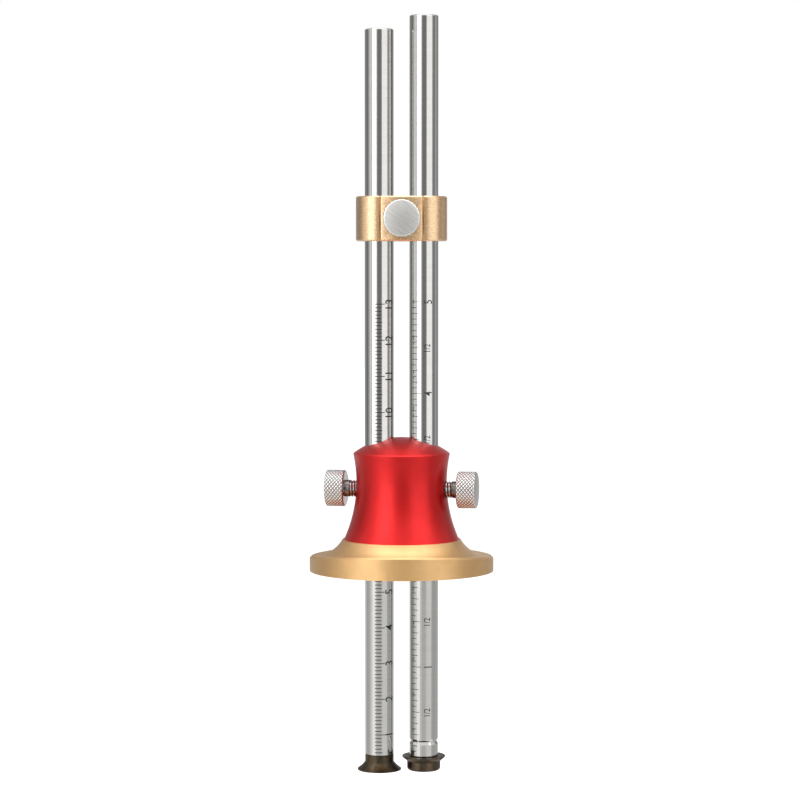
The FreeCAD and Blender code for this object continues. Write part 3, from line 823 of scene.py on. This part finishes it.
def run_recipe(name, recipe, values):
    """The plain mesh that a tree makes from these sizes."""
    holder = bpy.data.objects.new(name, bpy.data.meshes.new(name))
    bpy.context.scene.collection.objects.link(holder)
    modifier = holder.modifiers.new("recipe", "NODES")
    modifier.node_group = recipe
    for item in recipe.interface.items_tree:
        if item.in_out == "INPUT":
            modifier[item.identifier] = values[item.name]
    evaluated = holder.evaluated_get(bpy.context.evaluated_depsgraph_get())
    mesh = bpy.data.meshes.new_from_object(evaluated)
    bpy.data.objects.remove(holder)
    mesh.name = name
    return mesh


FLOAT = "NodeSocketFloat"
WHOLE = "NodeSocketInt"
BAR_STEPS = 9


def scale_recipe():
    nodes, tree, size = new_recipe("scale_marks", (
        ("First Height", FLOAT), ("Spacing", FLOAT), ("Count", WHOLE), ("Skip One In", WHOLE),
        ("Start Angle", FLOAT), ("End Angle", FLOAT), ("Rod Radius", FLOAT), ("Mark Width", FLOAT),
        ("Mark Rise", FLOAT), ("Lowest Height", FLOAT), ("Gap Low", FLOAT), ("Gap High", FLOAT)))
    first = tree.node("ShaderNodeCombineXYZ", sockets={"Z": size["First Height"]})
    step = tree.node("ShaderNodeCombineXYZ", sockets={"Z": size["Spacing"]})
    line = tree.node("GeometryNodeMeshLine", sockets={
        "Count": size["Count"], "Start Location": first, "Offset": step})
    index = tree.node("GeometryNodeInputIndex")
    left_over = index.maths("MODULO", index, size["Skip One In"])
    skipped = left_over.below(0.5) * size["Skip One In"].above(0.5)
    height = size["First Height"] + index * size["Spacing"]
    in_gap = height.above(size["Gap Low"]) * height.below(size["Gap High"])
    skipped = skipped.at_least(height.below(size["Lowest Height"])).at_least(in_gap)
    kept = tree.node("GeometryNodeDeleteGeometry", {"domain": "POINT"}, {
        "Geometry": line, "Selection": skipped})

    bar = tree.node("GeometryNodeMeshCube", sockets={
        "Size": (1.0, 1.0, 1.0), "Vertices X": BAR_STEPS, "Vertices Y": 2, "Vertices Z": 2})
    place = tree.node("GeometryNodeInputPosition")
    along = tree.node("ShaderNodeSeparateXYZ", sockets={0: place})
    inward = tree.other(along, "Y")
    up = tree.other(along, "Z")
    turn = size["Start Angle"] + (along + 0.5) * (size["End Angle"] - size["Start Angle"])
    radius = size["Rod Radius"] - inward * 2.0 * size["Mark Rise"]
    bent = tree.node("ShaderNodeCombineXYZ", sockets={
        "X": radius * turn.sine(), "Y": 0.0 - radius * turn.cosine(), "Z": up * size["Mark Width"]})
    mark = tree.node("GeometryNodeSetPosition", sockets={"Geometry": bar, "Position": bent})
    marks = tree.node("GeometryNodeInstanceOnPoints", sockets={"Points": kept, "Instance": mark})
    end_recipe(tree, marks, size["Finish"])
    return nodes


SCALE_MARKS = scale_recipe()
# In millimetres: how far a mark stands out of its rod, and how wide the marks of each scale are
MARK_RISE = 0.012
METRIC_MARK_WIDTH = 0.22
INCH_MARK_WIDTH = 0.16
RING_MARGIN = 0.1


def join_meshes(name, meshes):
    """One mesh from several."""
    joined = bmesh.new()
    for mesh in meshes:
        joined.from_mesh(mesh)
    result = bpy.data.meshes.new(name)
    joined.to_mesh(result)
    joined.free()
    return result


def make_scale(rod, side, zero, rows, width, gap):
    """The marks of one rod. A row is its spacing, its count, the one in how many that it skips, and
    its start and end angle in degrees round the rod from the front."""
    lowest = node_heights(rod)[0] + width
    meshes = []
    for number, (spacing, count, skipped, start, end) in enumerate(rows):
        meshes.append(run_recipe(f"{rod}_marks_{number}", SCALE_MARKS, {
            "First Height": zero * MM, "Spacing": spacing * MM, "Count": count,
            "Skip One In": skipped, "Start Angle": math.radians(start),
            "End Angle": math.radians(end), "Rod Radius": ROD_RADIUS * MM,
            "Mark Width": width * MM, "Mark Rise": MARK_RISE * MM, "Lowest Height": lowest * MM,
            "Gap Low": gap[0] * MM, "Gap High": gap[1] * MM, "Finish": SCALE_INK}))
    mesh = join_meshes(f"{rod}_marks", meshes)
    mesh.transform(Matrix.Translation((side * MM, 0, 0)))
    marks = link(f"{rod}_marks", mesh, SCALE_INK)
    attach(marks, rod)
    print(marks.name, len(mesh.polygons), "faces")


METRIC_ZERO = -55.74
METRIC_TOP_CM = 13
INCH = 25.4
INCH_ZERO = -52.12
INCH_TOP = 5
METRIC_ROWS = (
    (1.0, METRIC_TOP_CM * 10 + 1, 5, -17.8, 9.6),
    (5.0, METRIC_TOP_CM * 2 + 1, 2, -17.8, 12.8),
    (10.0, METRIC_TOP_CM + 1, 0, -17.8, 22.9),
)
INCH_ROWS = (
    (INCH / 16, INCH_TOP * 16 + 1, 2, -53.5, -32.0),
    (INCH / 8, INCH_TOP * 8 + 1, 2, -53.5, -25.0),
    (INCH / 4, INCH_TOP * 4 + 1, 2, -53.5, -23.0),
    (INCH / 2, INCH_TOP * 2 + 1, 2, -53.5, -18.0),
    (INCH, INCH_TOP + 1, 0, -53.5, -11.7),
)

RING_MIDDLE = node_heights("inch_rod")[0] + RING_HEIGHT
NO_GAP = (0.0, 0.0)
RING_GAP = (RING_MIDDLE - RING_HALF - RING_MARGIN, RING_MIDDLE + RING_HALF + RING_MARGIN)
make_scale("metric_rod", -ROD_OFFSET, METRIC_ZERO, METRIC_ROWS, METRIC_MARK_WIDTH, NO_GAP)
make_scale("inch_rod", ROD_OFFSET, INCH_ZERO, INCH_ROWS, INCH_MARK_WIDTH, RING_GAP)

# %% [markdown]
# ## The figures
# The figures are plain numbers that read up the rod. Each one is typed as a flat text, made a
# mesh, cut into narrow strips so that it can bend, and rolled onto the rod. It then gets a little
# thickness, so that it is a closed shape.

# %% Figures
FIGURE_STRIPS = 14
FIGURE_WEIGHT = 0.002


def flat_text(words, height):
    """A flat mesh of some words. Its height is the height of a figure, and it starts at nought."""
    curve = bpy.data.curves.new("words", "FONT")
    curve.body = words
    curve.resolution_u = 4
    curve.offset = FIGURE_WEIGHT
    holder = bpy.data.objects.new("words", curve)
    bpy.context.scene.collection.objects.link(holder)
    mesh = bpy.data.meshes.new_from_object(
        holder.evaluated_get(bpy.context.evaluated_depsgraph_get()))
    bpy.data.objects.remove(holder)
    points = [vertex.co for vertex in mesh.vertices]
    low = Vector((min(p.x for p in points), min(p.y for p in points), 0))
    high = Vector((max(p.x for p in points), max(p.y for p in points), 0))
    scale = height / (high.y - low.y)
    mesh.transform(Matrix.Scale(scale, 4) @ Matrix.Translation(-low))
    return mesh, (high.x - low.x) * scale


def rolled_text(words, height, narrow, middle, start_angle):
    """Words rolled onto a rod: they read upwards about a middle height, and their foot is on the
    right, at the greater angle."""
    mesh, wide = flat_text(words, height)
    flat = bmesh.new()
    flat.from_mesh(mesh)
    for strip in range(1, FIGURE_STRIPS):
        level = height * strip / FIGURE_STRIPS
        bmesh.ops.bisect_plane(
            flat, geom=flat.verts[:] + flat.edges[:] + flat.faces[:],
            plane_co=(0, level, 0), plane_no=(0, 1, 0), dist=1e-7)
    bmesh.ops.triangulate(flat, faces=flat.faces[:])
    extruded = bmesh.ops.extrude_face_region(flat, geom=flat.faces[:], use_keep_orig=True)
    for item in extruded["geom"]:
        if isinstance(item, bmesh.types.BMVert):
            item.co.z = 1.0
    radius = ROD_RADIUS * MM
    for vertex in flat.verts:
        outward = radius + MARK_RISE * MM * (2 * vertex.co.z - 1)
        turn = math.radians(start_angle) + (height - vertex.co.y) / radius
        up = middle + (vertex.co.x - wide / 2) * narrow
        vertex.co = (outward * math.sin(turn), -outward * math.cos(turn), up)
    bmesh.ops.recalc_face_normals(flat, faces=flat.faces[:])
    flat.to_mesh(mesh)
    flat.free()
    return mesh


def arc_length(start, end):
    """The way round the rod between two angles, in metres."""
    return math.radians(end - start) * ROD_RADIUS * MM


def make_figures(rod, side, meshes):
    """One piece from all the figures of a rod."""
    mesh = join_meshes(f"{rod}_figures", meshes)
    mesh.transform(Matrix.Translation((side * MM, 0, 0)))
    figures = link(f"{rod}_figures", mesh, SCALE_INK)
    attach(figures, rod)
    print(figures.name, len(mesh.polygons), "faces")


# Between which angles a figure's height lies on its rod, in degrees, and how narrow it is
METRIC_FIGURE = (25.0, 65.0)
INCH_FIGURE = (1.0, 33.0)
HALF_FIGURE = (0.3, 26.0)
FIGURE_NARROW = 0.85
HALF_NARROW = 0.8

make_figures("metric_rod", -ROD_OFFSET, [
    rolled_text(str(number), arc_length(*METRIC_FIGURE), FIGURE_NARROW,
                (METRIC_ZERO + 10 * number) * MM, METRIC_FIGURE[0])
    for number in range(1, METRIC_TOP_CM + 1)])
make_figures("inch_rod", ROD_OFFSET, [
    rolled_text(str(number), arc_length(*INCH_FIGURE), FIGURE_NARROW,
                (INCH_ZERO + INCH * number) * MM, INCH_FIGURE[0])
    for number in range(1, INCH_TOP + 1)] + [
    rolled_text("1/2", arc_length(*HALF_FIGURE), HALF_NARROW,
                (INCH_ZERO + INCH * (number + 0.5)) * MM, HALF_FIGURE[0])
    for number in range(INCH_TOP)])

# %% [markdown]
# ## The knurled screws
# A knurl is two sets of helical grooves that cross. Round the head there are 27 grooves of each
# hand, and the radius at a point is the least of a few simple surfaces: the crossed grooves, and
# the rounded edges at both ends. That is a rule, so Geometry Nodes move the points of a plain tube by it.
# The thread is the same idea with one groove of one hand.

# %% Knurled head
KNURL_ROUND = 27
KNURL_LENGTH = 0.95
KNURL_DEPTH = 0.27
KNURL_SAMPLES = 8
POINTS_ALONG_HEAD = 56
HEAD_RADIUS = 5.1
HEAD_LENGTH = 5.3
HEAD_EDGE_ROUND = 0.45
HEAD_PLAIN_RIM = 0.35
CREST_SHARPNESS = 2.5
# Added before a fraction is taken, so that it is never of a number below nought
WHOLE_TURNS = 100.0
END_FACE = 0.02 * MM
# How far in from the head's inner face its rim gets painted shade
SHADED_RIM = 0.12 * MM


def store(tree, geometry, name, value):
    """The geometry with a number kept on each point, for its finish to read."""
    return tree.node("GeometryNodeStoreNamedAttribute", {"data_type": "FLOAT", "domain": "POINT"}, {
        "Geometry": geometry, "Name": name, "Value": value})


def plain_tube(tree, size):
    """A closed tube about Z, its points' X, Y and Z, and their turn about Z in whole turns."""
    tube = tree.node("GeometryNodeMeshCylinder", {"fill_type": "TRIANGLE_FAN"}, {
        "Vertices": size["Points Round"], "Side Segments": size["Points Along"],
        "Radius": size["Radius"], "Depth": size["Length"]})
    place = tree.node("GeometryNodeInputPosition")
    x = tree.node("ShaderNodeSeparateXYZ", sockets={0: place})
    y = tree.other(x, "Y")
    z = tree.other(x, "Z")
    turn = x.maths("ARCTAN2", y, x) / (2 * math.pi)
    return tube, x, y, z, turn


def knurl_recipe():
    """A tube whose points move in to the knurl's grooves and to its rounded ends."""
    nodes, tree, size = new_recipe("knurled_head", (
        ("Radius", FLOAT), ("Length", FLOAT), ("Knurls Round", WHOLE), ("Knurl Length", FLOAT),
        ("Knurl Depth", FLOAT), ("Edge Round", FLOAT), ("Plain Rim", FLOAT), ("Points Round", WHOLE),
        ("Points Along", WHOLE)))
    tube, x, y, z, turn = plain_tube(tree, size)
    climb = z / size["Knurl Length"]
    round_turn = turn * size["Knurls Round"]
    left = abs((round_turn + climb + WHOLE_TURNS).fraction() - 0.5) * 2.0
    right = abs((round_turn - climb + WHOLE_TURNS).fraction() - 0.5) * 2.0
    crest = ((1.0 - left.at_least(right)) * CREST_SHARPNESS).at_most(1.0)
    groove = 1.0 - crest
    from_end = size["Length"] * 0.5 - abs(z)
    fade = (from_end / size["Plain Rim"]).clamped()
    knurled = size["Radius"] - groove * fade * size["Knurl Depth"]
    inward = (size["Edge Round"] - from_end).at_least(0.0) / size["Edge Round"]
    drop = 1.0 - x.maths("SQRT", (1.0 - inward * inward).at_least(0.0))
    rounded = size["Radius"] - size["Edge Round"] * drop
    new_radius = knurled.at_most(rounded) / size["Radius"]
    on_side = from_end.above(END_FACE)
    moved = tree.node("ShaderNodeCombineXYZ", sockets={
        "X": x * new_radius, "Y": y * new_radius, "Z": z})
    outer = z.above(0.0)
    # Painted shade: the knurl's grooves, and a thin ring at the head's inner rim, get the dark colour
    shaded_inner_rim = (1.0 - outer) * from_end.below(SHADED_RIM)
    marked = store(tree, tube, GROOVE_SHADE, (groove * fade).at_least(shaded_inner_rim) * on_side)
    marked = store(tree, marked, FACED, (1.0 - on_side) * outer)
    shaped = tree.node("GeometryNodeSetPosition", sockets={"Geometry": marked, "Position": moved})
    end_recipe(tree, shaped, size["Finish"])
    return nodes


KNURLED_HEAD = knurl_recipe()


# %% Thread
THREAD_PITCH = 0.8
THREAD_RADIUS = 2.4
THREAD_DEPTH = 0.42
THREAD_SAMPLES = 10
THREAD_POINTS_ROUND = 48


def thread_recipe():
    """A tube whose points move in to one helical groove."""
    nodes, tree, size = new_recipe("screw_thread", (
        ("Radius", FLOAT), ("Length", FLOAT), ("Pitch", FLOAT), ("Depth", FLOAT),
        ("Points Round", WHOLE), ("Points Along", WHOLE)))
    tube, x, y, z, turn = plain_tube(tree, size)
    phase = (z / size["Pitch"] - turn + WHOLE_TURNS).fraction()
    flank = abs(phase - 0.5) * 2.0
    groove = (flank * 1.3 - 0.15).clamped()
    new_radius = (size["Radius"] - groove * size["Depth"]) / size["Radius"]
    on_side = (size["Length"] * 0.5 - abs(z)).above(END_FACE)
    moved = tree.node("ShaderNodeCombineXYZ", sockets={
        "X": x * new_radius, "Y": y * new_radius, "Z": z})
    # Painted shade, darkest where the thread's groove is deepest
    marked = store(tree, tube, GROOVE_SHADE, groove * on_side)
    shaped = tree.node("GeometryNodeSetPosition", sockets={"Geometry": marked, "Position": moved})
    end_recipe(tree, shaped, size["Finish"])
    return nodes


SCREW_THREAD = thread_recipe()

# %% [markdown]
# ## Putting a screw together
# A screw is made along Z, from its end in the thread to the outer face of its head: the thread, a
# smooth collar, and the knurled head. It is then turned onto its axis in the gauge. Its reach is
# where the solid has its end and its head.

# %% Screws
COLLAR_LENGTH = 1.5
COLLAR_RADIUS = 2.35
COLLAR_EDGE = 0.15
COLLAR_SIDES = 64
# How much painted shade darkens the whole collar, which sits in the recess under the head
COLLAR_SHADE = 0.85
# In millimetres: how far two parts of a screw run into each other, so that no gap shows
OVERLAP = 0.1
# From the back of a screw's tip or wedge to its thread, and to the inner face of its head
TO_THREAD = 0.05
TO_HEAD = 4.9
CROSS_TURN = math.radians(10.0)


def stained(mesh, amount):
    """The same painted shade all over a mesh as in a groove, by an amount from nought to one."""
    shade_layer = mesh.attributes.new(GROOVE_SHADE, "FLOAT", "POINT")
    shade_layer.data.foreach_set("value", [amount] * len(mesh.vertices))


def move_along(mesh, distance):
    mesh.transform(Matrix.Translation((0, 0, distance * MM)))


def make_thumb_screw(node, back, height, heading):
    """A thumb screw behind a tip or wedge whose back is at a distance from the gauge's axis. The
    heading is an angle about Z from +X."""
    start = back + TO_THREAD
    head_start = back + TO_HEAD
    thread_length = head_start - COLLAR_LENGTH - start
    thread = run_recipe("thread", SCREW_THREAD, {
        "Radius": THREAD_RADIUS * MM, "Length": thread_length * MM, "Pitch": THREAD_PITCH * MM,
        "Depth": THREAD_DEPTH * MM, "Points Round": THREAD_POINTS_ROUND,
        "Points Along": round(thread_length / THREAD_PITCH * THREAD_SAMPLES), "Finish": PLATED_STEEL})
    move_along(thread, start + thread_length / 2)
    collar_start = head_start - COLLAR_LENGTH
    collar = turned_mesh("collar", [
        (0, collar_start - OVERLAP), (THREAD_RADIUS - THREAD_DEPTH, collar_start - OVERLAP),
        (COLLAR_RADIUS - COLLAR_EDGE, collar_start), (COLLAR_RADIUS, collar_start + 0.2),
        (COLLAR_RADIUS, head_start + OVERLAP), (0, head_start + OVERLAP)], COLLAR_SIDES)
    # The collar gets painted shade all over
    stained(collar, COLLAR_SHADE)
    head = run_recipe("head", KNURLED_HEAD, {
        "Radius": HEAD_RADIUS * MM, "Length": HEAD_LENGTH * MM, "Knurls Round": KNURL_ROUND,
        "Knurl Length": KNURL_LENGTH * MM, "Knurl Depth": KNURL_DEPTH * MM,
        "Edge Round": HEAD_EDGE_ROUND * MM, "Plain Rim": HEAD_PLAIN_RIM * MM,
        "Points Round": KNURL_ROUND * KNURL_SAMPLES, "Points Along": POINTS_ALONG_HEAD,
        "Finish": PLATED_STEEL})
    move_along(head, head_start + HEAD_LENGTH / 2)
    for mesh in (thread, head):
        smooth(mesh, 40)
    mesh = join_meshes(f"{node}_knurled", (thread, collar, head))
    lay_down = Matrix.Rotation(math.pi / 2, 4, "Y")
    facing = Matrix.Rotation(heading, 4, "Z")
    mesh.transform(Matrix.Translation((0, 0, height * MM)) @ facing @ lay_down)
    screw = link(f"{node}_knurled", mesh, PLATED_STEEL)
    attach(screw, node)
    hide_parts(node)
    print(screw.name, len(mesh.polygons), "faces")


LOCK_HEIGHT = 22.7
TIP_GAP = 0.1
TIP_THICKNESS = 0.8
LOCK_TIP_BACK = ROD_OFFSET * math.cos(CROSS_TURN) + ROD_RADIUS + TIP_GAP + TIP_THICKNESS
WEDGE_BACK = 3.8
make_thumb_screw("right_lock_screw", LOCK_TIP_BACK, LOCK_HEIGHT, -CROSS_TURN)
make_thumb_screw("left_lock_screw", LOCK_TIP_BACK, LOCK_HEIGHT, math.pi - CROSS_TURN)
make_thumb_screw("bridge_lock_screw", WEDGE_BACK, BRIDGE_MIDDLE, -math.pi / 2)
